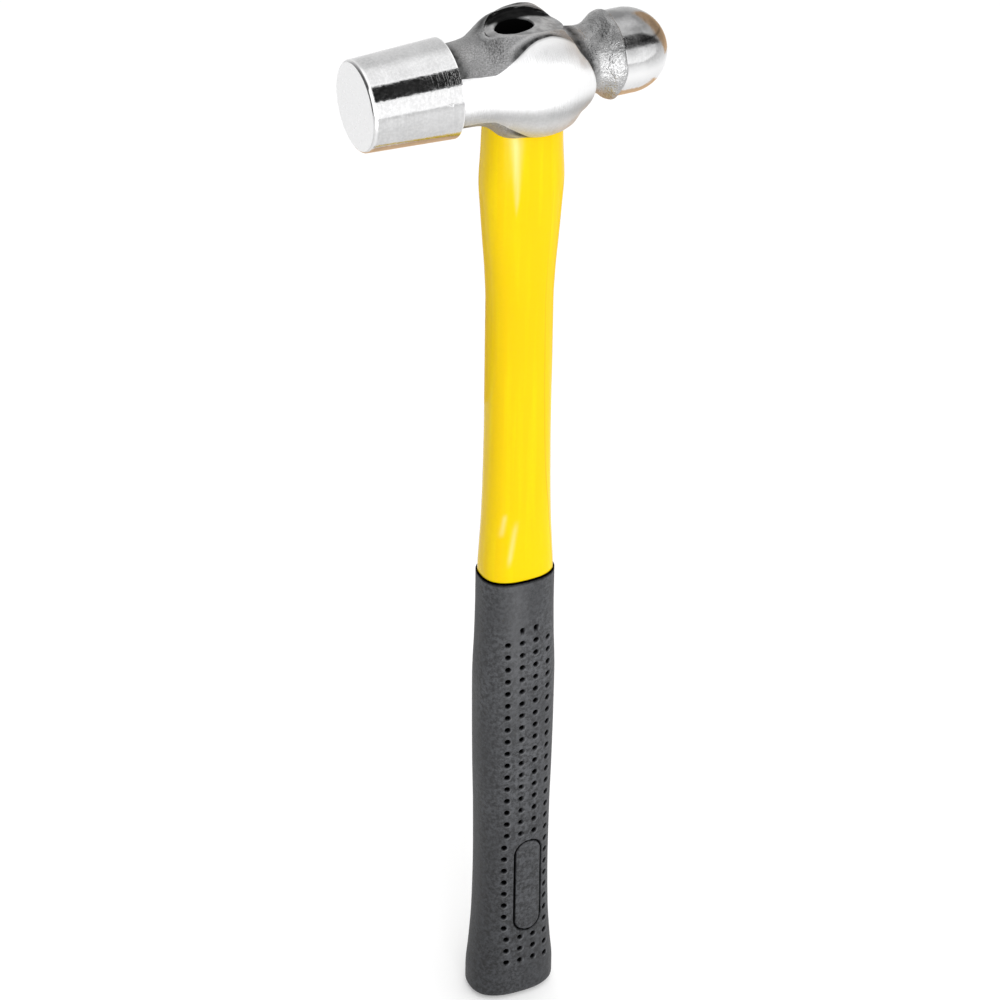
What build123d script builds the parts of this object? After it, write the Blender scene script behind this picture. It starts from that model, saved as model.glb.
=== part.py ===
from build123d import *
import math
import os

os.makedirs("parts", exist_ok=True)

# A ball peen hammer, 16 oz class, in millimetres.
# +Z runs up the handle, the origin is the centre of the flat butt,
# the striking face looks towards -X and the ball towards +X.

# ---- head, heights and radii measured from its own long axis ----
head_axis_z = 341.3
face_x = -54.9
face_radius = 13.4
face_edge_radius = 14.1
face_bevel = 0.7
poll_back_x = -26.0
poll_back_radius = 15.4
poll_step = 0.6
poll_neck_radius = 12.3
ball_x = 33.6
ball_radius = 13.0
ball_start_x = 28.0

# sections of the neck and the eye boss: (x, turned cheek radius, cheek edge height, forged crown height)
boss_sections = [
    (-26.0, 13.3, 8.0, 12.3),
    (-22.5, 13.6, 7.9, 12.4),
    (-19.0, 13.9, 7.7, 12.6),
    (-15.4, 14.6, 7.8, 13.4),
    (-12.6, 15.7, 9.1, 15.5),
    (-10.4, 16.8, 10.7, 17.8),
    (-8.5, 17.6, 12.0, 19.0),
    (-6.0, 18.6, 13.8, 19.5),
    (-3.5, 19.6, 15.4, 19.4),
    (-0.5, 20.2, 16.4, 18.9),
    (3.0, 20.4, 16.7, 17.9),
    (6.5, 20.1, 15.9, 16.9),
    (10.0, 19.1, 14.0, 15.2),
    (13.0, 18.1, 11.5, 12.9),
    (15.0, 17.3, 9.2, 11.3),
    (16.2, 16.8, 7.8, 10.7),
]

# turned outline of the second neck and the collar: (x, radius)
collar_outline = [
    (14.0, 11.3),
    (16.2, 10.9),
    (18.5, 10.4),
    (20.2, 10.4),
    (22.2, 11.0),
    (24.4, 12.3),
    (26.5, 13.5),
    (27.8, 13.8),
    (28.4, 13.4),
]

# ---- eye through the head ----
eye_half_x = 12.4
eye_half_y = 8.4
eye_reach = 24.0
trim_margin = 1.0

# ---- bonding resin in the eye ----
# its top follows the arch of the eye boss a little below the rim: (x, height over the head's axis)
resin_crown = [(-12.5, 14.6), (-6.0, 15.9), (0.0, 16.1), (6.0, 15.2), (12.5, 13.0)]
resin_bottom = head_axis_z - 12.0
hollow_centre = (-3.0, 0.6)
hollow_half_x = 6.3
hollow_half_y = 5.0
hollow_floor = head_axis_z + 6.5

# ---- fibreglass core ----
core_half_x = 7.4
core_half_y = 4.2
core_bottom = 12.0
resin_over_core = 1.0
core_top = hollow_floor - resin_over_core

# ---- jacket and grip ----
section_power = 2.5
section_points = 32
seam_z = 164.6
grip_wall = 2.0
grip_lip = 0.5
butt_edge_round = 3.0

# visible jacket sections: (z, half width along X, half depth along Y)
jacket_sections = [
    (seam_z, 12.0, 9.0),
    (174.0, 11.6, 8.6),
    (184.0, 11.1, 8.2),
    (200.0, 10.7, 7.9),
    (220.0, 10.5, 7.8),
    (262.0, 10.5, 7.8),
    (274.0, 11.0, 8.0),
    (284.0, 11.8, 8.3),
    (295.0, 12.6, 8.7),
    (305.0, 13.2, 9.0),
    (316.0, 12.7, 8.8),
    (resin_bottom, 12.5, 8.6),
]

# grip sections: (z, half width along X, half depth along Y)
grip_sections = [
    (0.0, 14.5, 9.9),
    (8.0, 14.5, 9.9),
    (18.0, 13.6, 9.7),
    (32.0, 12.6, 9.6),
    (52.0, 12.2, 9.6),
    (72.0, 12.4, 9.6),
    (91.0, 12.9, 9.6),
    (110.0, 13.2, 9.6),
    (124.0, 13.3, 9.6),
    (142.0, 12.7, 9.5),
    (155.0, 12.5, 9.5),
    (seam_z, 12.0 + grip_lip, 9.0 + grip_lip),
]

# the shaft under the grip follows the grip from the core's lower end upwards
covered_sections = [(core_bottom, 14.3, 9.8)] + grip_sections[2:]


def oval_points(half_x, half_y):
    """Points of a superellipse, counter-clockwise from +X."""
    points = []
    for step in range(section_points):
        angle = 2 * math.pi * step / section_points
        cosine = math.cos(angle)
        sine = math.sin(angle)
        x = math.copysign(abs(cosine) ** (2 / section_power), cosine) * half_x
        y = math.copysign(abs(sine) ** (2 / section_power), sine) * half_y
        points.append((x, y))
    return points


def oval_faces(stations, inset=0.0):
    """One closed face per station, for a loft up the handle."""
    faces = []
    for z, half_x, half_y in stations:
        with BuildSketch(Plane.XY.offset(z)) as oval:
            with BuildLine():
                Spline(*oval_points(half_x - inset, half_y - inset), periodic=True)
            make_face()
        faces.append(oval.sketch.face())
    return faces


head_plane = Plane(origin=(0, 0, head_axis_z), x_dir=(1, 0, 0), z_dir=(0, -1, 0))
head_axis = Axis((0, 0, head_axis_z), (1, 0, 0))

# the neck and the eye boss: four arcs a section, so the ground cheeks keep their sharp edges
with BuildPart() as boss:
    for x, cheek_radius, edge_height, crown_height in boss_sections:
        edge_depth = math.sqrt(cheek_radius**2 - edge_height**2)
        section_plane = Plane(origin=(x, 0, head_axis_z), x_dir=(0, 1, 0), z_dir=(1, 0, 0))
        with BuildSketch(section_plane):
            with BuildLine():
                ThreePointArc((edge_depth, -edge_height), (cheek_radius, 0), (edge_depth, edge_height))
                ThreePointArc((edge_depth, edge_height), (0, crown_height), (-edge_depth, edge_height))
                ThreePointArc((-edge_depth, edge_height), (-cheek_radius, 0), (-edge_depth, -edge_height))
                ThreePointArc((-edge_depth, -edge_height), (0, -crown_height), (edge_depth, -edge_height))
            make_face()
    loft()

with BuildPart() as head:
    add(boss.part)
    # striking poll: a slight cone with a bevelled face and a sharp back edge
    with BuildSketch(head_plane):
        with BuildLine():
            Polyline(
                (face_x, 0),
                (face_x, face_radius),
                (face_x + face_bevel, face_edge_radius),
                (poll_back_x, poll_back_radius),
                (poll_back_x + poll_step, poll_neck_radius),
                (poll_back_x + poll_step, 0),
                close=True,
            )
        make_face()
    revolve(axis=head_axis)
    # second neck and collar
    with BuildSketch(head_plane):
        with BuildLine():
            Line((collar_outline[0][0], 0), collar_outline[0])
            Spline(*collar_outline)
            Line(collar_outline[-1], (collar_outline[-1][0], 0))
            Line((collar_outline[-1][0], 0), (collar_outline[0][0], 0))
        make_face()
    revolve(axis=head_axis)
    # ball with its short cylinder behind the collar
    with BuildSketch(head_plane):
        with BuildLine():
            Line((ball_start_x, 0), (ball_start_x, ball_radius))
            Line((ball_start_x, ball_radius), (ball_x, ball_radius))
            CenterArc((ball_x, 0), ball_radius, 90, -90)
            Line((ball_x + ball_radius, 0), (ball_start_x, 0))
        make_face()
    revolve(axis=head_axis)
    # the eye, straight through
    with BuildSketch(Plane.XY.offset(head_axis_z - eye_reach)):
        Ellipse(eye_half_x, eye_half_y)
    extrude(amount=2 * eye_reach, mode=Mode.SUBTRACT)

with BuildPart() as handle_core:
    with BuildSketch(Plane.XY.offset(core_bottom)):
        Ellipse(core_half_x, core_half_y)
    extrude(amount=core_top - core_bottom)

# the part of the jacket that the grip covers
with BuildPart() as covered_shaft:
    loft(sections=oval_faces(covered_sections, inset=grip_wall))

with BuildPart() as handle_jacket:
    loft(sections=oval_faces(jacket_sections))
    add(head.part, mode=Mode.SUBTRACT)
    add(covered_shaft.part)
    add(handle_core.part, mode=Mode.SUBTRACT)

with BuildPart() as grip:
    loft(sections=oval_faces(grip_sections))
    butt_edge = grip.edges().sort_by(Axis.Z)[0]
    fillet(butt_edge, radius=butt_edge_round)
    add(covered_shaft.part, mode=Mode.SUBTRACT)

with BuildPart() as eye_resin:
    with BuildSketch(Plane.XY.offset(resin_bottom)):
        Ellipse(eye_half_x, eye_half_y)
    extrude(amount=head_axis_z + eye_reach - resin_bottom)
    with BuildSketch(head_plane):
        with BuildLine():
            Spline(*resin_crown)
            Polyline(
                resin_crown[0],
                (resin_crown[0][0], -eye_reach),
                (resin_crown[-1][0], -eye_reach),
                resin_crown[-1],
            )
        make_face()
    extrude(amount=eye_half_y + trim_margin, both=True, mode=Mode.INTERSECT)
    with BuildSketch(Plane.XY.offset(hollow_floor)):
        with Locations(hollow_centre):
            Ellipse(hollow_half_x, hollow_half_y)
    extrude(amount=eye_reach, mode=Mode.SUBTRACT)
    add(handle_core.part, mode=Mode.SUBTRACT)

head.part.label = "head"
handle_core.part.label = "handle_core"
handle_jacket.part.label = "handle_jacket"
grip.part.label = "grip"
eye_resin.part.label = "eye_resin"

export_step(head.part, "parts/head.step")
export_step(handle_core.part, "parts/handle_core.step")
export_step(handle_jacket.part, "parts/handle_jacket.step")
export_step(grip.part, "parts/grip.step")
export_step(eye_resin.part, "parts/eye_resin.step")
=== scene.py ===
"""Looks of a ball peen hammer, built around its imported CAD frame.

Metres, +Z up the handle, striking face towards -X, the camera on the -Y side.
Shapes are written in millimetres and scaled once, by MM.
"""

import math

import bmesh
import bpy
import numpy as np
from mathutils import Matrix, Vector, noise


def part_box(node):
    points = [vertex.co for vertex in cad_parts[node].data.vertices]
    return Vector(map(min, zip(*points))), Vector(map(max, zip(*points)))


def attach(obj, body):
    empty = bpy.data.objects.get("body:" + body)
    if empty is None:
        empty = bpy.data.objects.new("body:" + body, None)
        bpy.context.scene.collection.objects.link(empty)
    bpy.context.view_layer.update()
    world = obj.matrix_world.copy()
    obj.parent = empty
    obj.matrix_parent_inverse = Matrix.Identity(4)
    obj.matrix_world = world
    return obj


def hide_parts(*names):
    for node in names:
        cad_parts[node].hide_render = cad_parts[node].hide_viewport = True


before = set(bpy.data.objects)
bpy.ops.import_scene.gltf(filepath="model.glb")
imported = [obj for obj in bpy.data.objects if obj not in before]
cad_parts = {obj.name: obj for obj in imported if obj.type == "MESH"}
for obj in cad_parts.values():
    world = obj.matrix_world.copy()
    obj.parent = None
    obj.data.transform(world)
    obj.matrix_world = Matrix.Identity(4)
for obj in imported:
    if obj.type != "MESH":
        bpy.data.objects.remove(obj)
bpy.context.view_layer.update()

MM = 0.001
head_low, head_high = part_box("head")
AXIS_Z = (head_low.z + head_high.z) / 2 / MM      # height of the head's long axis
FACE_X = head_low.x / MM                          # striking face
TIP_X = head_high.x / MM                          # end of the ball
SEAM_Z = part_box("grip")[1].z / MM                 # upper end of the grip


# ---------------------------------------------------------------- curves and meshes

def smooth_curve(stations):
    """A smooth function through (at, value) stations that doesn't overshoot them."""
    at = np.array([s[0] for s in stations], float)
    value = np.array([s[1] for s in stations], float)
    step = np.diff(at)
    slope = np.diff(value) / step
    tangent = np.zeros(len(at))
    tangent[0] = slope[0]
    tangent[-1] = slope[-1]
    for i in range(1, len(at) - 1):
        if slope[i - 1] * slope[i] > 0:
            before = 2 * step[i] + step[i - 1]
            after = step[i] + 2 * step[i - 1]
            tangent[i] = (before + after) / (before / slope[i - 1] + after / slope[i])

    def curve(x):
        x = np.clip(x, at[0], at[-1])
        i = np.clip(np.searchsorted(at, x) - 1, 0, len(step) - 1)
        t = (x - at[i]) / step[i]
        return ((1 + 2 * t) * (1 - t) ** 2 * value[i] + t * (1 - t) ** 2 * step[i] * tangent[i]
                + t * t * (3 - 2 * t) * value[i + 1] + t * t * (t - 1) * step[i] * tangent[i + 1])

    return curve


def smoothstep(low, high, x):
    t = np.clip((x - low) / (high - low), 0, 1)
    return t * t * (3 - 2 * t)


def ridge(distance, width):
    """1 on a line and falling off on both sides of it."""
    return np.exp(-(distance / width) ** 2)


def mesh_from_rings(name, rings):
    """A closed skin over an array of rings, (rings, points, 3) in millimetres, with a fan over each end."""
    count, points, _ = rings.shape
    verts = (rings.reshape(-1, 3) * MM).tolist()
    faces = []
    for r in range(count - 1):
        for p in range(points):
            q = (p + 1) % points
            faces.append((r * points + p, r * points + q, (r + 1) * points + q, (r + 1) * points + p))
    for ring, flip in ((0, True), (count - 1, False)):
        centre = len(verts)
        verts.append((rings[ring].mean(axis=0) * MM).tolist())
        for p in range(points):
            a = ring * points + p
            b = ring * points + (p + 1) % points
            faces.append((b, a, centre) if flip else (a, b, centre))
    mesh = bpy.data.meshes.new(name)
    mesh.from_pydata(verts, [], faces)
    mesh.validate()
    return mesh


def link_object(name, mesh):
    obj = bpy.data.objects.new(name, mesh)
    bpy.context.scene.collection.objects.link(obj)
    return obj


def finish_shading(mesh, sharp_angle):
    """Outward normals, smooth faces, and sharp edges where it turns by more than sharp_angle degrees."""
    bm = bmesh.new()
    bm.from_mesh(mesh)
    bmesh.ops.recalc_face_normals(bm, faces=bm.faces)
    for face in bm.faces:
        face.smooth = True
    limit = math.radians(sharp_angle)
    for edge in bm.edges:
        if len(edge.link_faces) == 2 and edge.calc_face_angle() > limit:
            edge.smooth = False
    bm.to_mesh(mesh)
    bm.free()


def store_attribute(mesh, name, values):
    layer = mesh.attributes.new(name, "FLOAT", "POINT")
    layer.data.foreach_set("value", np.asarray(values, dtype=np.float32))


# ---------------------------------------------------------------- node helpers

def new_material(name):
    material = bpy.data.materials.new(name)
    material.use_nodes = True
    tree = material.node_tree
    return material, tree, tree.nodes["Principled BSDF"]


def add_node(tree, kind, inputs=None, **settings):
    """A node with its settings, and its inputs set to values or linked to sockets."""
    node = tree.nodes.new(kind)
    for key, value in settings.items():
        setattr(node, key, value)
    for key, value in (inputs or {}).items():
        if isinstance(value, bpy.types.NodeSocket):
            tree.links.new(value, node.inputs[key])
        else:
            node.inputs[key].default_value = value
    return node


def object_coords(tree, scale=(1, 1, 1)):
    coords = add_node(tree, "ShaderNodeTexCoord").outputs["Object"]
    return add_node(tree, "ShaderNodeMapping", {"Vector": coords, "Scale": scale}).outputs["Vector"]


def noise_value(tree, scale, stretch=(1, 1, 1), detail=3.0, roughness=0.55):
    return add_node(tree, "ShaderNodeTexNoise", {
        "Vector": object_coords(tree, stretch), "Scale": scale, "Detail": detail, "Roughness": roughness,
    }).outputs["Fac"]


def attribute(tree, name):
    return add_node(tree, "ShaderNodeAttribute", attribute_name=name).outputs["Fac"]


def remap(tree, value, from_min, from_max, to_min, to_max):
    return add_node(tree, "ShaderNodeMapRange", {
        "Value": value, "From Min": from_min, "From Max": from_max, "To Min": to_min, "To Max": to_max,
    }).outputs["Result"]


def math_node(tree, operation, a, b):
    return add_node(tree, "ShaderNodeMath", {0: a, 1: b}, operation=operation).outputs[0]


def mix_colour(tree, factor, a, b):
    node = add_node(tree, "ShaderNodeMix", data_type="RGBA")
    for socket, value in ((node.inputs[0], factor), (node.inputs[6], a), (node.inputs[7], b)):
        if isinstance(value, bpy.types.NodeSocket):
            tree.links.new(value, socket)
        else:
            socket.default_value = value
    return node.outputs[2]


def bump(tree, height, strength, distance, normal=None):
    inputs = {"Height": height, "Strength": strength, "Distance": distance}
    if normal is not None:
        inputs["Normal"] = normal
    return add_node(tree, "ShaderNodeBump", inputs).outputs["Normal"]


def grey(value):
    return (value, value, value * 1.005, 1.0)


# ---------------------------------------------------------------- materials

def bright_steel():
    """Ground and polished steel: a near mirror on poll and ball, brushed on the cheeks, nicked and worn,
    with painted reflection bands, painted highlights and painted shade.
    """
    material, tree, shader = new_material("steel_bright")
    rings = noise_value(tree, 60, stretch=(55, 1, 1), detail=4)
    grain = noise_value(tree, 1100, detail=4)
    blotches = noise_value(tree, 150, detail=4)
    nicks = noise_value(tree, 420, detail=2)
    wear_and_highlight = attribute(tree, "wear_and_highlight")
    ground = attribute(tree, "ground")
    satin = attribute(tree, "satin")
    dull_and_painted_shade = attribute(tree, "dull_and_painted_shade")
    tone = mix_colour(tree, remap(tree, rings, 0.3, 0.7, 0, 1), grey(0.54), grey(0.60))
    tone = mix_colour(tree, remap(tree, grain, 0.40, 0.62, 0.5, 0), tone, grey(0.44))
    tone = mix_colour(tree, remap(tree, blotches, 0.45, 0.65, 0, 0.35), tone, grey(0.68))
    # painted reflection bands from the vertices: a lighter one, then a darker and slightly rougher one
    tone = mix_colour(tree, attribute(tree, "painted_light_band"), tone, grey(0.80))
    patchy_dull_and_shade = math_node(tree, "MULTIPLY", dull_and_painted_shade, remap(tree, blotches, 0.4, 0.6, 0.6, 1))
    tone = mix_colour(tree, patchy_dull_and_shade, tone, grey(0.22))
    # painted shade along the cheek's upper edge
    tone = mix_colour(tree, attribute(tree, "shaded"), tone, grey(0.05))
    tone = mix_colour(tree, ground, tone, grey(0.80))
    tone = mix_colour(tree, wear_and_highlight, tone, grey(0.85))
    tree.links.new(tone, shader.inputs["Base Color"])
    shader.inputs["Metallic"].default_value = 1.0
    rough = remap(tree, grain, 0.35, 0.65, 0.07, 0.15)
    rough = math_node(tree, "ADD", rough, remap(tree, satin, 0, 1, 0, 0.32))
    rough = math_node(tree, "ADD", rough, remap(tree, dull_and_painted_shade, 0, 1, 0, 0.08))
    rough = math_node(tree, "ADD", rough, remap(tree, ground, 0, 1, 0, 0.2))
    tree.links.new(rough, shader.inputs["Roughness"])
    brushed = noise_value(tree, 80, stretch=(28, 1, 1), detail=5, roughness=0.7)
    normal = bump(tree, brushed, math_node(tree, "MULTIPLY", satin, 0.35), 0.0005)
    normal = bump(tree, rings, 0.12, 0.0002, normal)
    normal = bump(tree, remap(tree, nicks, 0.70, 0.76, 1, 0), 0.25, 0.0002, normal)
    normal = bump(tree, grain, 0.22, 0.0001, normal)
    tree.links.new(normal, shader.inputs["Normal"])
    return material


def forged_steel():
    """Blasted forged steel: mid grey with fine pits, rougher in the necks, with painted shade darkening the
    necks and some edges, and painted highlights on others.
    """
    material, tree, shader = new_material("steel_forged")
    grain = noise_value(tree, 2300, detail=3)
    lumps = noise_value(tree, 430, detail=3, roughness=0.5)
    pits = add_node(tree, "ShaderNodeTexVoronoi", {
        "Vector": object_coords(tree), "Scale": 1500.0}).outputs["Distance"]
    clouds = noise_value(tree, 110, detail=4)
    painted_shade = attribute(tree, "painted_shade")
    wear_and_highlight = attribute(tree, "wear_and_highlight")
    cast = attribute(tree, "cast")
    tone = mix_colour(tree, remap(tree, grain, 0.40, 0.60, 0, 1), grey(0.20), grey(0.37))
    tone = mix_colour(tree, remap(tree, clouds, 0.40, 0.65, 0, 0.5), tone, grey(0.21))
    cast_tone = math_node(tree, "MULTIPLY", cast, remap(tree, lumps, 0.40, 0.62, 0.55, 0.95))
    tone = mix_colour(tree, cast_tone, tone, grey(0.42))
    # painted shade darkens the necks, the crown behind the eye, the cheek's edge and the collar's top
    dark = math_node(tree, "MULTIPLY", painted_shade, remap(tree, lumps, 0.40, 0.62, 1.0, 0.7))
    tone = mix_colour(tree, dark, tone, grey(0.022))
    tone = mix_colour(tree, wear_and_highlight, tone, grey(0.62))
    tree.links.new(tone, shader.inputs["Base Color"])
    shader.inputs["Metallic"].default_value = 0.9
    rough = remap(tree, grain, 0.35, 0.65, 0.40, 0.58)
    rough = math_node(tree, "ADD", rough, remap(tree, cast, 0, 1, 0, -0.20))
    tree.links.new(rough, shader.inputs["Roughness"])
    strength = remap(tree, cast, 0, 1, 0.12, 0.45)
    normal = bump(tree, lumps, strength, 0.0012)
    normal = bump(tree, pits, 0.35, 0.0003, normal)
    normal = bump(tree, grain, 0.45, 0.0003, normal)
    tree.links.new(normal, shader.inputs["Normal"])
    return material


def eye_scale():
    """The punched eye's wall: black forging scale with streaks along it."""
    material, tree, shader = new_material("steel_eye")
    streaks = noise_value(tree, 230, stretch=(1, 1, 5), detail=4)
    grain = noise_value(tree, 1400, detail=2)
    tone = mix_colour(tree, remap(tree, streaks, 0.54, 0.68, 0, 1), grey(0.004), grey(0.17))
    tree.links.new(tone, shader.inputs["Base Color"])
    shader.inputs["Metallic"].default_value = 0.7
    tree.links.new(remap(tree, grain, 0.3, 0.7, 0.4, 0.65), shader.inputs["Roughness"])
    normal = bump(tree, streaks, 0.5, 0.0006)
    normal = bump(tree, grain, 0.3, 0.0002, normal)
    tree.links.new(normal, shader.inputs["Normal"])
    return material


def yellow_plastic():
    """Glossy moulded jacket: faint lengthwise streaks and a slight change of tone."""
    material, tree, shader = new_material("yellow_jacket")
    streaks = noise_value(tree, 420, stretch=(1, 1, 0.035), detail=3)
    clouds = noise_value(tree, 30, stretch=(1, 1, 0.3), detail=3)
    speckle = noise_value(tree, 900, detail=2)
    light_yellow = (0.90, 0.620, 0.0, 1)
    deep_yellow = (0.86, 0.568, 0.0, 1)
    tone = mix_colour(tree, remap(tree, clouds, 0.35, 0.65, 0, 1), light_yellow, deep_yellow)
    tone = mix_colour(tree, remap(tree, streaks, 0.50, 0.70, 0, 0.4), tone, (0.93, 0.72, 0.0, 1))
    tone = mix_colour(tree, remap(tree, speckle, 0.45, 0.65, 0, 0.15), tone, (0.78, 0.54, 0.0, 1))
    tone = mix_colour(tree, attribute(tree, "parting"), tone, (0.66, 0.40, 0.0, 1))
    tree.links.new(tone, shader.inputs["Base Color"])
    tree.links.new(remap(tree, streaks, 0.3, 0.7, 0.10, 0.20), shader.inputs["Roughness"])
    shader.inputs["Specular IOR Level"].default_value = 0.10
    shine = math_node(tree, "MULTIPLY", attribute(tree, "shine"), remap(tree, streaks, 0.42, 0.60, 0.6, 1))
    tree.links.new(shine, shader.inputs["Coat Weight"])
    shader.inputs["Coat IOR"].default_value = 2.3
    shader.inputs["Coat Roughness"].default_value = 0.3
    normal = bump(tree, streaks, 0.12, 0.0003)
    normal = bump(tree, speckle, 0.03, 0.0001, normal)
    tree.links.new(normal, shader.inputs["Normal"])
    return material


def grip_rubber():
    """Matt dark grey rubber: fine tooth, mottled bloom, painted shade inside the dimples, the groove and
    the lip, painted highlights on the dimples' rims, and a painted sheen.
    """
    material, tree, shader = new_material("grip_rubber")
    tooth = noise_value(tree, 1500, detail=3)
    mottle = noise_value(tree, 800, detail=5, roughness=0.75)
    clouds = noise_value(tree, 70, stretch=(1, 1, 0.45), detail=4)
    deep = attribute(tree, "deep")
    spots = remap(tree, mottle, 0.40, 0.60, 0, 1)
    tone = mix_colour(tree, spots, (0.010, 0.011, 0.013, 1), (0.088, 0.091, 0.099, 1))
    tone = mix_colour(tree, remap(tree, clouds, 0.42, 0.62, 0, 0.6), tone, (0.024, 0.025, 0.028, 1))
    # darker towards the butt, and painted shade on the face's side
    darkened_and_shaded = mix_colour(tree, spots, (0.001, 0.001, 0.0015, 1), (0.034, 0.036, 0.041, 1))
    tone = mix_colour(tree, attribute(tree, "darkened_and_shaded"), tone, darkened_and_shaded)
    # painted highlights: paler dimple rims and a sheen stripe
    tone = mix_colour(tree, attribute(tree, "painted_highlight"), tone, (0.17, 0.172, 0.18, 1))
    # painted shade in the dimples, the groove and the lip's gap: near black
    tone = mix_colour(tree, deep, tone, (0.001, 0.001, 0.001, 1))
    tree.links.new(tone, shader.inputs["Base Color"])
    tree.links.new(remap(tree, mottle, 0.35, 0.65, 0.50, 0.68), shader.inputs["Roughness"])
    tree.links.new(remap(tree, deep, 0, 0.8, 0.42, 0.0), shader.inputs["Specular IOR Level"])
    normal = bump(tree, mottle, 0.35, 0.0005)
    normal = bump(tree, tooth, 0.3, 0.0002, normal)
    tree.links.new(normal, shader.inputs["Normal"])
    return material


def eye_resin():
    """Grey bonding compound, with painted shade inside its hollow and along the back of its ledge."""
    material, tree, shader = new_material("eye_resin")
    grain = noise_value(tree, 900, detail=3)
    clouds = noise_value(tree, 260, detail=4)
    hollow = attribute(tree, "hollow")
    tone = mix_colour(tree, remap(tree, clouds, 0.42, 0.60, 0, 1), grey(0.22), grey(0.38))
    # painted shade in the hollow and on the back of the ledge
    tone = mix_colour(tree, hollow, tone, grey(0.002))
    tree.links.new(tone, shader.inputs["Base Color"])
    tree.links.new(remap(tree, grain, 0.3, 0.7, 0.5, 0.75), shader.inputs["Roughness"])
    tree.links.new(remap(tree, hollow, 0, 1, 0.4, 0.0), shader.inputs["Specular IOR Level"])
    tree.links.new(bump(tree, grain, 0.3, 0.0003), shader.inputs["Normal"])
    return material


def fibreglass():
    """The core: pale resin with fibres along it."""
    material, tree, shader = new_material("fibreglass")
    fibres = noise_value(tree, 1200, stretch=(1, 1, 0.02), detail=3)
    dark_fibre = (0.62, 0.56, 0.38, 1)
    pale_fibre = (0.80, 0.76, 0.60, 1)
    tone = mix_colour(tree, remap(tree, fibres, 0.35, 0.65, 0, 1), dark_fibre, pale_fibre)
    tree.links.new(tone, shader.inputs["Base Color"])
    tree.links.new(remap(tree, fibres, 0.3, 0.7, 0.45, 0.65), shader.inputs["Roughness"])
    tree.links.new(bump(tree, fibres, 0.4, 0.0003), shader.inputs["Normal"])
    return material


# ---------------------------------------------------------------- the head

# neck and eye boss: (x, turned cheek radius, cheek edge height, forged crown height)
BOSS = [
    (-26.0, 13.3, 8.0, 12.3),
    (-22.5, 13.6, 7.9, 12.4),
    (-19.0, 13.9, 7.7, 12.6),
    (-15.4, 14.6, 7.8, 13.4),
    (-12.6, 15.7, 9.1, 15.5),
    (-10.4, 16.8, 10.7, 17.8),
    (-8.5, 17.6, 12.0, 19.0),
    (-6.0, 18.6, 13.8, 19.5),
    (-3.5, 19.6, 15.4, 19.4),
    (-0.5, 20.2, 16.4, 18.9),
    (3.0, 20.4, 16.7, 17.9),
    (6.5, 20.1, 15.9, 16.9),
    (10.0, 19.1, 14.0, 15.2),
    (13.0, 18.1, 11.5, 12.9),
    (15.0, 17.3, 9.2, 11.3),
    (16.2, 16.8, 7.8, 10.7),
]
# second neck and collar: (x, radius)
COLLAR = [
    (16.2, 10.9), (18.5, 10.4), (20.2, 10.4), (22.2, 11.0),
    (24.4, 12.3), (26.5, 13.5), (27.8, 13.8), (28.4, 13.4),
]
FACE_RADIUS = 13.4
FACE_EDGE_RADIUS = 14.1
POLL_BACK_X = -26.0
POLL_BACK_RADIUS = 15.4
BOSS_END_X = 16.2
CHEEK_BOW = 2.5          # how far the cheeks' back edge bows towards the face, above and below
COLLAR_LEAN = 1.3        # how far the collar's lower edge sits back towards the eye
BALL_START_X = 28.2
BALL_RADIUS = 13.0
BALL_X = TIP_X - BALL_RADIUS
CHEEK_POINTS = 22        # mesh points per quarter ring, on the cheek and on the crown
CROWN_POINTS = 42
EYE_HALF_X = 12.4
EYE_HALF_Y = 8.4
EYE_RIM = 1.3            # rounding of the eye's rim


def quarter_section(cheek_radius, edge_height, crown_height):
    """(depth, height) from the middle of the turned cheek, over its edge, to the middle of the crown."""
    angle = np.linspace(0, math.asin(edge_height / cheek_radius), CHEEK_POINTS + 1)
    cheek = np.stack([cheek_radius * np.cos(angle), cheek_radius * np.sin(angle)], axis=1)
    edge_depth = cheek[-1, 0]
    rise = crown_height - edge_height
    crown_radius = (edge_depth ** 2 + rise ** 2) / (2 * rise)
    angle = np.linspace(math.asin(edge_depth / crown_radius), 0, CROWN_POINTS + 1)
    crown_drop = crown_radius * (1 - np.cos(angle))
    crown = np.stack([crown_radius * np.sin(angle), crown_height - crown_drop], axis=1)
    return np.concatenate([cheek[:-1], crown])


def full_section(quarter):
    """The whole ring of (y, z) from its quarter, mirrored front to back and top to bottom."""
    depth = quarter[:, 0]
    height = quarter[:, 1]
    parts = [
        np.stack([-depth, height], axis=1)[:-1],
        np.stack([depth, height], axis=1)[::-1][:-1],
        np.stack([depth, -height], axis=1)[:-1],
        np.stack([-depth, -height], axis=1)[::-1][:-1],
    ]
    return np.concatenate(parts)


def round_quarter(radius, like):
    """A quarter of a circle whose points keep the angles of another quarter section."""
    angle = np.arctan2(like[:, 1], like[:, 0])
    return np.stack([radius * np.cos(angle), radius * np.sin(angle)], axis=1)


def ring_noise(angle, seed, octaves=(2, 3, 5, 8, 13)):
    """An uneven line round a ring, between about -1 and 1."""
    random = np.random.default_rng(seed)
    total = np.zeros_like(angle)
    for k in octaves:
        total += np.sin(k * angle + random.uniform(0, 2 * math.pi)) / math.sqrt(k)
    return total / 1.6


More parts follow.
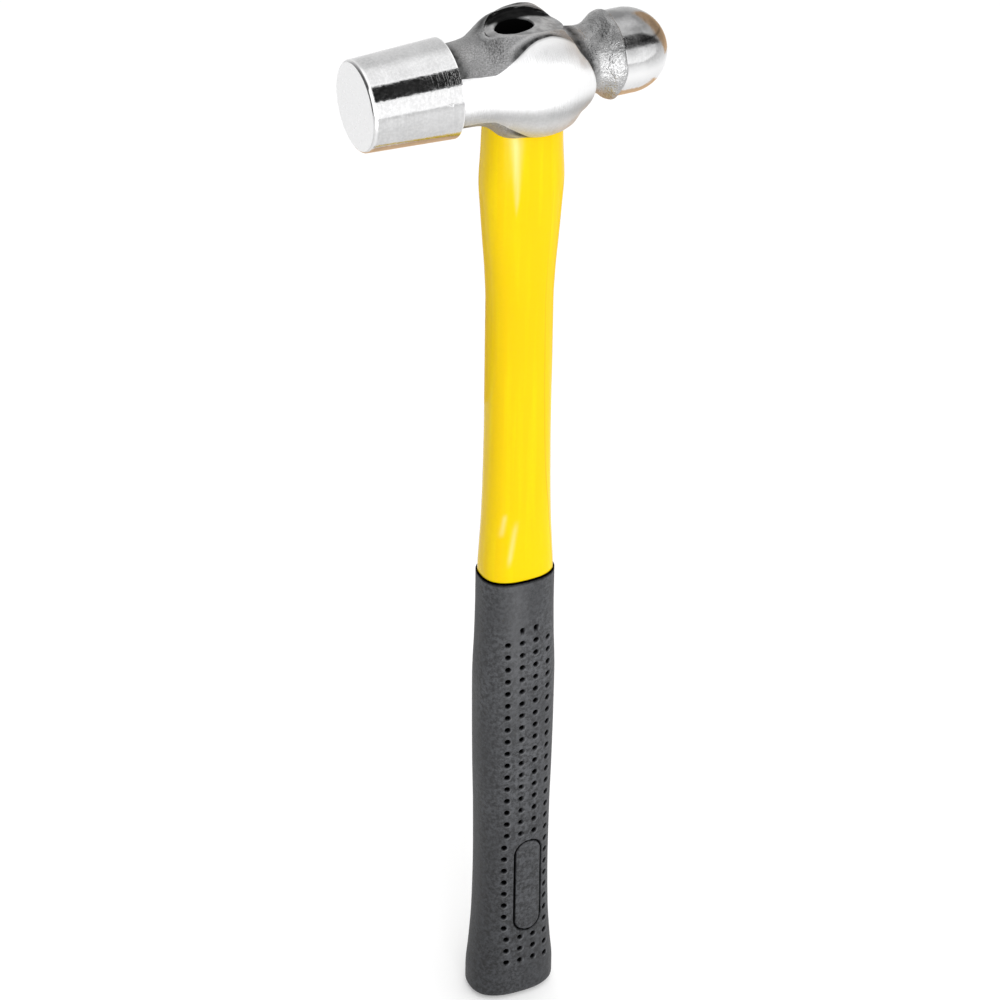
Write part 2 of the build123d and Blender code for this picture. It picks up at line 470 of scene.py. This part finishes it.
def head_rings():
    """Rings of the whole head along X, and for each ring which part of the head it belongs to."""
    columns = [smooth_curve([(row[0], row[c]) for row in BOSS]) for c in range(1, 4)]
    collar = smooth_curve(COLLAR)
    first = quarter_section(*[column(BOSS[0][0]) for column in columns])
    last = quarter_section(*[column(BOSS_END_X) for column in columns])
    rings = []
    kinds = []

    def add_ring(x, quarter, kind):
        section = full_section(quarter)
        rings.append(np.column_stack([np.full(len(section), x), section]))
        kinds.append(kind)

    # poll: flat face, bevel with softened corners, slight cone, sharp back edge
    for radius in (3.0, 7.0, 10.5, 12.6, 13.2):
        add_ring(FACE_X, round_quarter(radius, first), "face")
    poll = [
        (FACE_X, FACE_RADIUS, "bevel"), (FACE_X + 0.12, FACE_RADIUS + 0.2, "bevel"),
        (FACE_X + 0.55, FACE_EDGE_RADIUS - 0.12, "bevel"), (FACE_X + 0.8, FACE_EDGE_RADIUS, "poll"),
    ]
    for x, radius, kind in poll:
        add_ring(x, round_quarter(radius, first), kind)
    for x in np.linspace(FACE_X + 1.6, POLL_BACK_X - 0.5, 34):
        share = (x - FACE_X - 0.8) / (POLL_BACK_X - FACE_X - 0.8)
        radius = FACE_EDGE_RADIUS + share * (POLL_BACK_RADIUS - FACE_EDGE_RADIUS)
        add_ring(x, round_quarter(radius, first), "poll")
    back = [
        (POLL_BACK_X - 0.12, POLL_BACK_RADIUS, "edge"), (POLL_BACK_X, POLL_BACK_RADIUS - 0.12, "step"),
        (POLL_BACK_X + 0.12, POLL_BACK_RADIUS - 1.0, "step"), (POLL_BACK_X + 0.3, 13.9, "step"),
    ]
    for x, radius, kind in back:
        add_ring(x, round_quarter(radius, first), kind)
    # neck and eye boss
    for x in np.arange(POLL_BACK_X + 0.6, BOSS_END_X - 0.2, 0.34):
        add_ring(x, quarter_section(*[column(x) for column in columns]), "boss")
    add_ring(BOSS_END_X - 0.1, last, "shoulder")
    # the sharp back edge of the boss falls to the second neck
    target = round_quarter(float(collar(BOSS_END_X)), last)
    for share, ahead in ((0.06, 0.05), (0.3, 0.16), (0.65, 0.4), (0.88, 0.85), (0.97, 1.4)):
        add_ring(BOSS_END_X + ahead, last + (target - last) * share, "shoulder")
    for x in np.arange(BOSS_END_X + 1.9, BALL_START_X - 0.2, 0.28):
        add_ring(x, round_quarter(float(collar(x)), last), "collar")
    for ahead, radius in ((0.0, 13.5), (0.12, 13.2)):
        add_ring(BALL_START_X + ahead, round_quarter(radius, last), "collar")
    # ball, with its short cylinder
    for ahead in (0.16, 0.5, 1.2, 2.2, 3.4, 4.6):
        add_ring(BALL_START_X + ahead, round_quarter(BALL_RADIUS, last), "ball")
    for angle in np.radians(np.linspace(0, 89, 52)):
        radius = BALL_RADIUS * math.cos(angle)
        add_ring(BALL_X + BALL_RADIUS * math.sin(angle), round_quarter(radius, last), "ball")
    return np.array(rings), kinds


def cheek_end(z):
    """Where the cheeks end in X: furthest back at mid height, bowing towards the face above and below."""
    return BOSS_END_X - CHEEK_BOW * (np.minimum(np.abs(z), 9.0) / 8.5) ** 2


def collar_end(z):
    """Where the collar meets the ball's neck: nearer the eye on its lower half."""
    return BALL_START_X - COLLAR_LEAN * smoothstep(0.0, 9.0, -z)


def roughen_head(rings, kinds):
    """Uneven forging: waves on the crowns and the collar, a ragged collar edge and a softened eye rim."""
    count, points, _ = rings.shape
    for r in range(count):
        x, y, z = rings[r].T
        angle = np.arctan2(z, y)
        if kinds[r] == "collar":
            rings[r, :, 0] += 0.45 * smoothstep(25.6, BALL_START_X, x) * ring_noise(angle, seed=5)
            rings[r, :, 0] += smoothstep(23.0, BALL_START_X, x) * (collar_end(z) - BALL_START_X)
            swell = 1 + 0.018 * smoothstep(23.5, 26.0, x) * ring_noise(angle + 0.4, seed=8)
            rings[r, :, 1] *= swell
            rings[r, :, 2] *= swell
        if kinds[r] in ("boss", "shoulder", "collar"):
            quarter = CHEEK_POINTS + CROWN_POINTS
            place = np.arange(points) % (2 * quarter)
            from_edge = np.minimum(place, 2 * quarter - place) - CHEEK_POINTS
            crown = np.clip(from_edge / 8, 0, 1) if kinds[r] == "boss" else np.ones(points)
            for p in np.nonzero(crown > 0)[0]:
                spot = Vector(rings[r, p])
                wave = noise.noise(spot * 0.22) + 0.4 * noise.noise(spot * 0.7)
                rings[r, p, 1:] *= 1 + 0.010 * crown[p] * wave
        # the back edge of the cheeks bows: furthest back at mid height
        x, y, z = rings[r].T
        if kinds[r] in ("boss", "shoulder"):
            bow = smoothstep(9.0, BOSS_END_X, x) * (1 - smoothstep(BOSS_END_X, 22.0, x))
            rings[r, :, 0] += bow * (cheek_end(z) - BOSS_END_X)
        # the rim of the eye is rounded over
        x, y, z = rings[r].T
        reach = np.sqrt((x / EYE_HALF_X) ** 2 + (y / EYE_HALF_Y) ** 2) + 1e-9
        steep = np.sqrt((x / EYE_HALF_X ** 2) ** 2 + (y / EYE_HALF_Y ** 2) ** 2) / reach + 1e-9
        outside = np.clip((reach - 1) / steep / EYE_RIM, 0, 1)
        drop = EYE_RIM * (1 - np.sqrt(1 - (1 - outside) ** 2))
        drop = drop * (1 - smoothstep(-1.0, 4.0, y))
        on_top = (np.abs(z) > 8) & (kinds[r] == "boss")
        rings[r, :, 2] -= np.where(on_top, drop * np.sign(z), 0)


def cut_eye(obj):
    """Cuts the eye right through with a cutter of many sides, and keeps the result as the mesh."""
    angle = np.linspace(0, 2 * math.pi, 192, endpoint=False)
    levels = np.linspace(AXIS_Z - 25, AXIS_Z + 25, 60)
    rings = np.array([
        np.column_stack([EYE_HALF_X * np.cos(angle), EYE_HALF_Y * np.sin(angle), np.full(len(angle), z)])
        for z in levels])
    cutter = link_object("eye_cutter", mesh_from_rings("eye_cutter", rings))
    finish_shading(cutter.data, 30)
    cut = obj.modifiers.new("eye", "BOOLEAN")
    cut.operation = "DIFFERENCE"
    cut.solver = "EXACT"
    cut.object = cutter
    evaluated = obj.evaluated_get(bpy.context.evaluated_depsgraph_get())
    mesh = bpy.data.meshes.new_from_object(evaluated)
    obj.modifiers.clear()
    obj.data = mesh
    bpy.data.objects.remove(cutter)


def head_attributes(mesh):
    """Wear, painted shade and highlights, and finish of the head, as numbers on the vertices."""
    coords = np.empty(len(mesh.vertices) * 3)
    mesh.vertices.foreach_get("co", coords)
    x, y, z = coords.reshape(-1, 3).T / MM
    z = z - AXIS_Z
    radius = np.hypot(y, z)
    reach = np.hypot(x / EYE_HALF_X, y / EYE_HALF_Y)
    boss_columns = [smooth_curve([(row[0], row[c]) for row in BOSS]) for c in (1, 2)]
    cheek_radius = boss_columns[0](x)
    edge_height = boss_columns[1](x)
    edge_depth = np.sqrt(np.maximum(cheek_radius ** 2 - edge_height ** 2, 0))
    on_ball = smoothstep(collar_end(z), collar_end(z) + 0.5, x)
    on_cheek = (x > POLL_BACK_X + 0.3) & (x < cheek_end(z) - 0.05)
    # bright worn edges: the back of the poll, the bevel, the back of the cheek; a painted highlight along
    # the front of the eye's rim
    wear_and_highlight = ridge(x - POLL_BACK_X + 0.06, 0.16) * (radius > 15.0)
    wear_and_highlight += ridge(x - FACE_X - 0.7, 0.16) * 0.8
    wear_and_highlight += ridge(x - cheek_end(z) + 0.1, 0.2) * (radius > 11.5) * (z < 2) * 0.4
    wear_and_highlight += ridge(reach - 1.07, 0.05) * (z > 8) * (1 - smoothstep(-1.0, 3.0, y)) * 0.45
    # painted shade: in the two necks, and on the crown behind the eye
    painted_shade = ridge(x - POLL_BACK_X - 1.3, 2.0) * (radius < 15.2)
    painted_shade += ridge(x - cheek_end(z) - 1.7, 1.8)
    painted_shade += ridge(reach - 1.12, 0.16) * smoothstep(2.5, 5.5, y) * (z > 8)
    # the forged skin stands a little proud of the ground cheek: a painted shadow line beside it, a painted
    # highlight along its edge, and painted shade on the cheek's upper edge
    from_edge = edge_depth - np.abs(y)
    along = smoothstep(-12.0, -7.0, x) * (1 - smoothstep(3.0, 9.0, x)) * (np.abs(z) > edge_height - 0.3)
    painted_shade += ridge(from_edge - 0.5, 0.75) * along * 1.2
    wear_and_highlight += ridge(from_edge - 2.3, 0.5) * along * 0.35
    shaded = ridge(edge_height - z, 0.35) * (z > 3) * smoothstep(-12.0, -6.0, x) * 0.6
    # painted shade on the upper half of the collar
    painted_shade += smoothstep(17.0, 19.0, x) * (1 - on_ball) * smoothstep(2.0, 8.0, z) * 0.45
    # painted reflection by height: lighter steel on the upper cheek and low on the ball, a darker band low
    # on the cheek, and the top of the ball duller and darkened by painted shade
    cheek_shade_band = on_cheek * ridge(z + 5.5, 2.6) * 0.5
    light_band_cheek = on_cheek * smoothstep(-5.0, 0.5, z)
    light_band_ball = on_ball * (1 - smoothstep(-2.0, 3.0, z)) * (0.4 + 0.6 * smoothstep(-7.0, -2.0, z))
    store_attribute(mesh, "wear_and_highlight", np.clip(wear_and_highlight, 0, 1))
    store_attribute(mesh, "painted_shade", np.clip(painted_shade, 0, 1))
    store_attribute(mesh, "cast", smoothstep(15.0, 17.5, x) * (1 - on_ball))
    store_attribute(mesh, "satin", on_cheek.astype(float))
    store_attribute(mesh, "shaded", shaded)
    store_attribute(mesh, "dull_and_painted_shade", on_ball * smoothstep(1.0, 8.0, z) + cheek_shade_band)
    store_attribute(mesh, "painted_light_band", light_band_cheek + light_band_ball)
    store_attribute(mesh, "ground", (x < FACE_X + 0.05).astype(float))


def paint_head(mesh):
    """Bright steel on the turned and ground surfaces, forged steel between them, scale in the eye."""
    edge_height = smooth_curve([(row[0], row[2]) for row in BOSS])
    for face in mesh.polygons:
        x, y, z = face.center / MM
        z -= AXIS_Z
        reach = math.hypot(x / EYE_HALF_X, y / EYE_HALF_Y)
        if x < POLL_BACK_X - 0.02 or x > collar_end(z) + 0.14:
            face.material_index = 0
        elif reach < 1.004 and abs(z) < 19:
            face.material_index = 2
        elif POLL_BACK_X + 0.5 < x < cheek_end(z) - 0.12 and abs(z) < edge_height(x) and reach > 1.02:
            face.material_index = 0
        else:
            face.material_index = 1


def make_head():
    rings, kinds = head_rings()
    roughen_head(rings, kinds)
    rings[:, :, 2] += AXIS_Z
    obj = link_object("head_forging", mesh_from_rings("head_forging", rings))
    finish_shading(obj.data, 30)
    cut_eye(obj)
    finish_shading(obj.data, 28)
    for material in (bright_steel(), forged_steel(), eye_scale()):
        obj.data.materials.append(material)
    paint_head(obj.data)
    head_attributes(obj.data)
    return obj


# ---------------------------------------------------------------- shaft and grip

SECTION_POWER = 2.5
# sections of the jacket, which starts a little way inside the grip: (z, half width in X, half depth in Y)
JACKET = [
    (SEAM_Z - 6.0, 12.0, 9.0), (SEAM_Z, 12.0, 9.0), (174.0, 11.6, 8.6), (184.0, 11.1, 8.2),
    (200.0, 10.7, 7.9), (220.0, 10.5, 7.8), (262.0, 10.5, 7.8), (274.0, 11.0, 8.0),
    (284.0, 11.8, 8.3), (295.0, 12.6, 8.7), (305.0, 13.2, 9.0), (316.0, 12.7, 8.8),
    (322.0, 12.5, 8.6), (325.0, 12.38, 8.38), (329.2, 12.38, 8.38),
]
# the same for the grip
GRIP = [
    (0.0, 14.5, 9.9), (8.0, 14.5, 9.9), (18.0, 13.6, 9.7), (32.0, 12.6, 9.6), (52.0, 12.2, 9.6),
    (72.0, 12.4, 9.6), (91.0, 12.9, 9.6), (110.0, 13.2, 9.6), (124.0, 13.3, 9.6), (142.0, 12.7, 9.5),
    (155.0, 12.5, 9.45), (SEAM_Z, 12.5, 9.5),
]
BUTT_ROUND = 3.0
DIMPLE_RADIUS = 1.1
DIMPLE_DEPTH = 1.3
PATTERN_X = 1.95                    # the pattern's middle near the butt, a little towards the ball
PATTERN_LEAN = -0.0068              # how far it leans in X for each millimetre up
DIMPLE_PITCH = 4.68
DIMPLE_TOP_Z = 141.0
DIMPLE_ROWS = 28
COLUMNS = (-7.2, -2.4, 2.4, 7.2)
PANEL_ROWS = range(17, 25)          # rows that the blank panel takes from the inner columns
PANEL_X = 2.1
PANEL_Z = 44.4
PANEL_HALF_WIDTH = 4.85
PANEL_HALF_HEIGHT = 18.0
GROOVE_WIDTH = 0.6
GROOVE_DEPTH = 0.7


def oval_angles(side_points, face_points):
    """Angles round an oval, close together on its two broad faces and wider on its edges."""
    half_face = math.radians(62)
    faces = np.linspace(-half_face, half_face, face_points, endpoint=False)
    edges = np.linspace(half_face, math.pi - half_face, side_points, endpoint=False)
    half = np.concatenate([faces, edges])
    return np.concatenate([half - math.pi / 2, half + math.pi / 2])


def oval_ring(half_x, half_y, angle):
    x = np.sign(np.cos(angle)) * np.abs(np.cos(angle)) ** (2 / SECTION_POWER) * half_x
    y = np.sign(np.sin(angle)) * np.abs(np.sin(angle)) ** (2 / SECTION_POWER) * half_y
    return x, y


# glossier marks on the front: (x, z, half length, half width low down, half width high up, lean per mm up)
SHINE = [
    (-7.6, 185.3, 4.5, 0.7, 0.6, 0.15),
    (-4.8, 178.5, 8.5, 0.7, 0.8, 0.16),
    (-5.5, 312.0, 15.0, 0.3, 1.9, 0.0),
]
# the moulding's parting line down the front: (z, share of the half width)
PARTING = [(SEAM_Z, 0.86), (185.0, 0.78), (205.0, 0.62), (240.0, 0.53), (300.0, 0.50), (330.0, 0.50)]


def make_jacket():
    """The jacket, with a fine parting line down its front and glossier marks where it swells."""
    half_x = smooth_curve([(z, a) for z, a, _ in JACKET])
    half_y = smooth_curve([(z, b) for z, _, b in JACKET])
    parting_at = smooth_curve(PARTING)
    angle = np.linspace(0, 2 * math.pi, 420, endpoint=False)
    rings = []
    shine = []
    parting = []
    for z in np.linspace(JACKET[0][0], JACKET[-1][0], 330):
        a = float(half_x(z))
        x, y = oval_ring(a, float(half_y(z)), angle)
        line = ridge(x / a - float(parting_at(z)), 0.02)
        grow = 1 + 0.008 * line
        marks = np.zeros_like(x)
        for mark_x, mark_z, length, low_width, high_width, lean in SHINE:
            along = (z - mark_z) / length
            width = low_width + (high_width - low_width) * np.clip((along + 1) / 2, 0, 1)
            mark = ridge(x - mark_x - lean * (z - mark_z), width)
            marks += mark * (1 - smoothstep(0.55, 1.1, abs(along))) * (y < 0)
        rings.append(np.column_stack([x * grow, y * grow, np.full(len(angle), z)]))
        shine.append(np.clip(marks, 0, 1))
        parting.append(line * 0.55 * (1 - 0.8 * smoothstep(255.0, 290.0, z)))
    mesh = mesh_from_rings("jacket_shell", np.array(rings))
    finish_shading(mesh, 40)
    store_attribute(mesh, "shine", np.concatenate(shine + [[0, 0]]))
    store_attribute(mesh, "parting", np.concatenate(parting + [[0, 0]]))
    mesh.materials.append(yellow_plastic())
    return link_object("jacket_shell", mesh)


def grip_relief(x, z):
    """How deep the pattern cuts into a broad face, in millimetres, and a painted highlight on its dimples'
    lower right rims.
    """
    depth = np.zeros_like(x)
    painted_highlight = np.zeros_like(x)
    for column in COLUMNS:
        inner = abs(column) < 5
        for row in range(-1 if inner else 0, DIMPLE_ROWS):
            if inner and row in PANEL_ROWS:
                continue
            aside = -0.8 if column < -5 and row in PANEL_ROWS else 0.0
            row_z = DIMPLE_TOP_Z - row * DIMPLE_PITCH - (0.8 if column > 5 else 0.0)
            across = x - PATTERN_X - PATTERN_LEAN * row_z - column - aside
            up = z - row_z
            away = np.hypot(across, up) / DIMPLE_RADIUS
            lower_right = np.clip((across - up) / (np.hypot(across, up) + 1e-6), 0, 1.4) / 1.4
            depth = np.maximum(depth, DIMPLE_DEPTH * (1 - smoothstep(0.35, 1.0, away)))
            painted_highlight = np.maximum(painted_highlight, ridge(away - 1.12, 0.16) * lower_right * 0.6)
    straight = PANEL_HALF_HEIGHT - PANEL_HALF_WIDTH
    along = np.maximum(np.abs(z - PANEL_Z) - straight, 0)
    from_line = np.abs(np.hypot(x - PANEL_X, along) - PANEL_HALF_WIDTH)
    groove = GROOVE_DEPTH * (1 - smoothstep(0.35, 1.0, from_line / (GROOVE_WIDTH / 2 + 0.15)))
    return np.maximum(depth, groove), painted_highlight


def make_grip():
    half_x = smooth_curve([(z, a) for z, a, _ in GRIP])
    half_y = smooth_curve([(z, b) for z, _, b in GRIP])
    angle = oval_angles(44, 112)
    heights = []
    inset = []
    for turn in np.linspace(math.pi / 2, 0, 9):
        heights.append(BUTT_ROUND * (1 - math.sin(turn)))
        inset.append(BUTT_ROUND * (1 - math.cos(turn)))
    pattern_top = DIMPLE_TOP_Z + 2
    middle = np.concatenate([
        np.arange(BUTT_ROUND + 0.6, 14, 0.6), np.arange(14, pattern_top, 0.27),
        np.arange(pattern_top, SEAM_Z - 0.5, 1.0)])
    heights = list(heights) + list(middle) + [SEAM_Z - 0.8, SEAM_Z - 0.7, SEAM_Z - 0.1, SEAM_Z]
    inset = list(inset) + [0.0] * len(middle) + [0.0, 0.2, 0.25, 0.35]
    rings = []
    shade = []
    highlight_rings = []
    darkening = []
    for z, pull in zip(heights, inset):
        a = float(half_x(z)) - pull
        b = float(half_y(z)) - pull
        x, y = oval_ring(a, b, angle)
        normal_x = np.sign(x) * np.abs(x / a) ** (SECTION_POWER - 1) / a
        normal_y = np.sign(y) * np.abs(y / b) ** (SECTION_POWER - 1) / b
        length = np.hypot(normal_x, normal_y)
        relief, painted_highlight = grip_relief(x, np.full_like(x, z))
        # darker towards the butt, painted shade on the face's side, and a painted sheen stripe higher up
        darkening.append(0.6 * (1 - smoothstep(15.0, 110.0, z)) + 0.4 * smoothstep(3.0, 10.5, -x))
        sheen_stripe = 0.22 * ridge(x + 3.5, 3.5) * smoothstep(85.0, 150.0, z)
        highlight_rings.append(np.maximum(painted_highlight, sheen_stripe))
        x = x - relief * normal_x / length
        y = y - relief * normal_y / length
        rings.append(np.column_stack([x, y, np.full(len(angle), z)]))
        # painted shade in the dimples and the groove, and over the top of the lip
        shade.append(np.clip(relief / 0.5, 0, 1) if z < SEAM_Z - 0.75 else np.ones(len(angle)))
    # the lip turns in to the jacket and a little way down its skin, all in painted shade
    for drop, gap in ((0.12, 0.12), (0.7, 0.1), (2.0, 0.02)):
        x, y = oval_ring(12.0 + gap, 9.0 + gap, angle)
        rings.append(np.column_stack([x, y, np.full(len(angle), SEAM_Z - drop)]))
        shade.append(np.ones(len(angle)))
        highlight_rings.append(np.zeros(len(angle)))
        darkening.append(np.zeros(len(angle)))
    mesh = mesh_from_rings("grip_sleeve", np.array(rings))
    finish_shading(mesh, 50)
    store_attribute(mesh, "deep", np.concatenate(shade + [[0, 0]]))
    store_attribute(mesh, "painted_highlight", np.concatenate(highlight_rings + [[0, 0]]))
    store_attribute(mesh, "darkened_and_shaded", np.concatenate(darkening + [[0.5, 0]]))
    mesh.materials.append(grip_rubber())
    return link_object("grip_sleeve", mesh)


# ---------------------------------------------------------------- resin in the eye

LEDGE = [(-12.5, 14.6), (-6.0, 15.9), (0.0, 16.1), (6.0, 15.2), (12.5, 13.0)]
HOLLOW = (-3.0, 0.6, 6.3, 5.0)       # centre and half sizes
HOLLOW_FLOOR = 6.5


def make_resin():
    """The bonding compound: a ledge that follows the arch of the boss, round a deep oval hollow."""
    ledge = smooth_curve(LEDGE)
    angle = np.linspace(0, 2 * math.pi, 160, endpoint=False)
    centre_x, centre_y, hollow_x, hollow_y = HOLLOW
    outer = np.column_stack([EYE_HALF_X * np.cos(angle), EYE_HALF_Y * np.sin(angle)]) * 0.998
    inner = np.column_stack([centre_x + hollow_x * np.cos(angle), centre_y + hollow_y * np.sin(angle)])
    uneven = 1 + 0.03 * ring_noise(angle, seed=3)[:, None]
    inner = (inner - (centre_x, centre_y)) * uneven + (centre_x, centre_y)
    rings = []
    hollow = []

    def add_ring(flat, height, darkness):
        rings.append(np.column_stack([flat, height + AXIS_Z]))
        # painted shade in the hollow and on the back of the ledge
        hollow.append(np.maximum(darkness, 0.97 * smoothstep(3.4, 5.0, flat[:, 1])))

    add_ring(outer, np.full(len(angle), -11.9), 0)
    for share in (0.0, 0.06, 0.15, 0.3, 0.5, 0.7, 0.85, 0.94, 1.0):
        flat = outer + (inner - outer) * share
        climb = 0.5 * (1 - smoothstep(0, 0.15, share)) - 0.25 * smoothstep(0.7, 1.0, share)
        add_ring(flat, ledge(flat[:, 0]) + climb, 0)
    edge = ledge(inner[:, 0]) - 0.25
    for depth, pull, darkness in ((0.25, 0.10, 0.3), (0.7, 0.2, 1), (3.0, 0.3, 1), (6.0, 0.5, 1)):
        add_ring(inner + (np.array([centre_x, centre_y]) - inner) * pull * 0.2, edge - depth, darkness)
    floor = inner + (np.array([centre_x, centre_y]) - inner) * 0.2
    add_ring(floor, np.full(len(angle), HOLLOW_FLOOR), 1)
    mesh = mesh_from_rings("resin_fill", np.array(rings))
    finish_shading(mesh, 50)
    values = np.concatenate(hollow + [[0, 1]])
    store_attribute(mesh, "hollow", values[:len(mesh.vertices)])
    mesh.materials.append(eye_resin())
    return link_object("resin_fill", mesh)


# ---------------------------------------------------------------- studio

CAMERA_AZIMUTH = math.radians(-25.77)
CAMERA_ELEVATION = math.radians(32.86)
CAMERA_ROLL = math.radians(0.95)
CAMERA_DISTANCE = 1.68746
CAMERA_TARGET = Vector((0, 0, 0.18771))
CAMERA_LENS = 193.70
CAMERA_SHIFT = (-0.0160, 0.0039)
FLOOR_HALF = 2.1
FLOOR_DROP = 0.0002
KEY_PLACE = Vector((-0.30, -1.02, 0.75))
KEY_AIM = Vector((0, 0, 0.2))
KEY_WIDTH = 0.7
KEY_WATTS = 5.2
BLACK = (0.01, 0.01, 0.01, 1)
WHITE = (1, 1, 1, 1)
TAN = (0.80, 0.55, 0.34, 1)


def make_camera():
    """The camera at the photographed angle, from the front on the striking face's side."""
    level = math.cos(CAMERA_ELEVATION)
    back = Vector((
        math.sin(CAMERA_AZIMUTH) * level, -math.cos(CAMERA_AZIMUTH) * level, math.sin(CAMERA_ELEVATION)))
    right = Vector((math.cos(CAMERA_AZIMUTH), math.sin(CAMERA_AZIMUTH), 0))
    up = back.cross(right)
    across = right * math.cos(CAMERA_ROLL) + up * math.sin(CAMERA_ROLL)
    above = up * math.cos(CAMERA_ROLL) - right * math.sin(CAMERA_ROLL)
    data = bpy.data.cameras.new("camera")
    data.sensor_width = 36
    data.lens = CAMERA_LENS
    data.shift_x = CAMERA_SHIFT[0]
    data.shift_y = CAMERA_SHIFT[1]
    data.clip_start = 0.05
    data.clip_end = 50
    camera = bpy.data.objects.new("camera", data)
    bpy.context.scene.collection.objects.link(camera)
    turn = Matrix((across, above, back)).transposed().to_4x4()
    camera.matrix_world = Matrix.Translation(CAMERA_TARGET + back * CAMERA_DISTANCE) @ turn
    bpy.context.scene.camera = camera


def make_floor():
    """A large pale floor just under the butt."""
    mesh = bpy.data.meshes.new("floor")
    bm = bmesh.new()
    bmesh.ops.create_grid(bm, x_segments=8, y_segments=8, size=FLOOR_HALF)
    bm.to_mesh(mesh)
    bm.free()
    material, tree, shader = new_material("floor_white")
    tone = mix_colour(tree, noise_value(tree, 3.0), (0.84, 0.84, 0.84, 1), (0.86, 0.86, 0.86, 1))
    tree.links.new(tone, shader.inputs["Base Color"])
    shader.inputs["Roughness"].default_value = 0.9
    shader.inputs["Emission Color"].default_value = (1, 1, 1, 1)
    shader.inputs["Emission Strength"].default_value = 0.2
    shader.inputs["Specular IOR Level"].default_value = 0.0
    mesh.materials.append(material)
    floor = link_object("floor", mesh)
    floor.location.z = -FLOOR_DROP


def make_world():
    """A white room, brighter overhead and dimmer beyond the striking face."""
    world = bpy.data.worlds.new("studio")
    bpy.context.scene.world = world
    world.use_nodes = True
    tree = world.node_tree
    background = tree.nodes["Background"]
    direction = add_node(tree, "ShaderNodeTexCoord").outputs["Generated"]
    parts = add_node(tree, "ShaderNodeSeparateXYZ", {"Vector": direction}).outputs
    overhead = remap(tree, parts["Z"], 0.75, 0.92, 0.0, 0.5)
    beyond = remap(tree, parts["X"], -0.15, -0.7, 0.0, -0.85)
    strength = math_node(tree, "ADD", math_node(tree, "ADD", overhead, beyond), 1.0)
    tree.links.new(strength, background.inputs["Strength"])
    background.inputs["Color"].default_value = (1, 1, 1, 1)


def make_key():
    """A soft key light, high at the front on the striking face's side."""
    data = bpy.data.lights.new("key", "AREA")
    data.shape = "DISK"
    data.size = KEY_WIDTH
    data.energy = KEY_WATTS
    key = bpy.data.objects.new("key", data)
    bpy.context.scene.collection.objects.link(key)
    key.location = KEY_PLACE
    key.visible_glossy = False
    key.rotation_euler = (KEY_AIM - key.location).to_track_quat("-Z", "Y").to_euler()


def make_flag(name, corners, colour, strength):
    """A card that shows only in glossy reflections, and lights nothing else."""
    mesh = bpy.data.meshes.new(name)
    mesh.from_pydata([Vector(c) * MM for c in corners], [], [tuple(range(len(corners)))])
    material, tree, shader = new_material(name)
    emission = add_node(tree, "ShaderNodeEmission", {"Color": colour, "Strength": strength})
    tree.links.new(emission.outputs[0], tree.nodes["Material Output"].inputs["Surface"])
    mesh.materials.append(material)
    flag = link_object(name, mesh)
    flag.visible_camera = False
    flag.visible_diffuse = False
    flag.visible_shadow = False
    flag.visible_transmission = False


def make_flags():
    """The cards round the head, in millimetres: what its polished steel reflects."""
    # two black flags in front and above: the dark bands on the poll and the ball
    low_edge = (57.6, -133.5, AXIS_Z + 75.6)
    high_edge = (57.6, -62.9, AXIS_Z + 139.2)
    for name, start, end in (("flag_poll", -104.0, -32.0), ("flag_ball", 14.0, 1500.0)):
        corners = []
        for (shift, y, z), ends in ((low_edge, (start, end)), (high_edge, (end, start))):
            corners += [(x + shift, y, z) for x in ends]
        make_flag(name, corners, BLACK, 1.0)
    # a white wall far in front
    low = (-1376.0, AXIS_Z - 234.0)
    high = (-420.0, AXIS_Z + 1330.0)
    wall = [(-2500.0, *low), (3000.0, *low), (3000.0, *high), (-2500.0, *high)]
    make_flag("wall_front", wall, WHITE, 1.75)
    # tan cards below and beyond the ball: the warm lower and right-hand edges
    below = AXIS_Z - 120.0
    tray = [(-60.0, 10.0, below), (140.0, 10.0, below), (140.0, 240.0, below), (-60.0, 240.0, below)]
    make_flag("card_below", tray, TAN, 1.0)
    side = [(0.0, 380.0), (110.0, 165.0), (500.0, 60.0), (500.0, 760.0), (190.0, 693.0), (0.0, 476.0)]
    make_flag("card_side", [(434.0, y, z) for y, z in side], TAN, 1.0)
    # a white card in front, on the face's side: the streak on the collar
    left = (-190.0, -220.0)
    right = (-30.0, -240.0)
    streak = [(*left, 190.0), (*right, 190.0), (*right, 420.0), (*left, 420.0)]
    make_flag("card_collar", streak, WHITE, 4.2)


# ---------------------------------------------------------------- assembly

def place(obj, node, slot):
    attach(obj, "root")
    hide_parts(node)


make_camera()
make_world()
make_key()
make_floor()
make_flags()
place(make_head(), "head", "steel")
place(make_jacket(), "handle_jacket", "yellow_jacket")
place(make_grip(), "grip", "grip_rubber")
place(make_resin(), "eye_resin", "resin")
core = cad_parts["handle_core"]
core.data.materials.clear()
core.data.materials.append(fibreglass())

bpy.context.scene.view_settings.view_transform = "Standard"
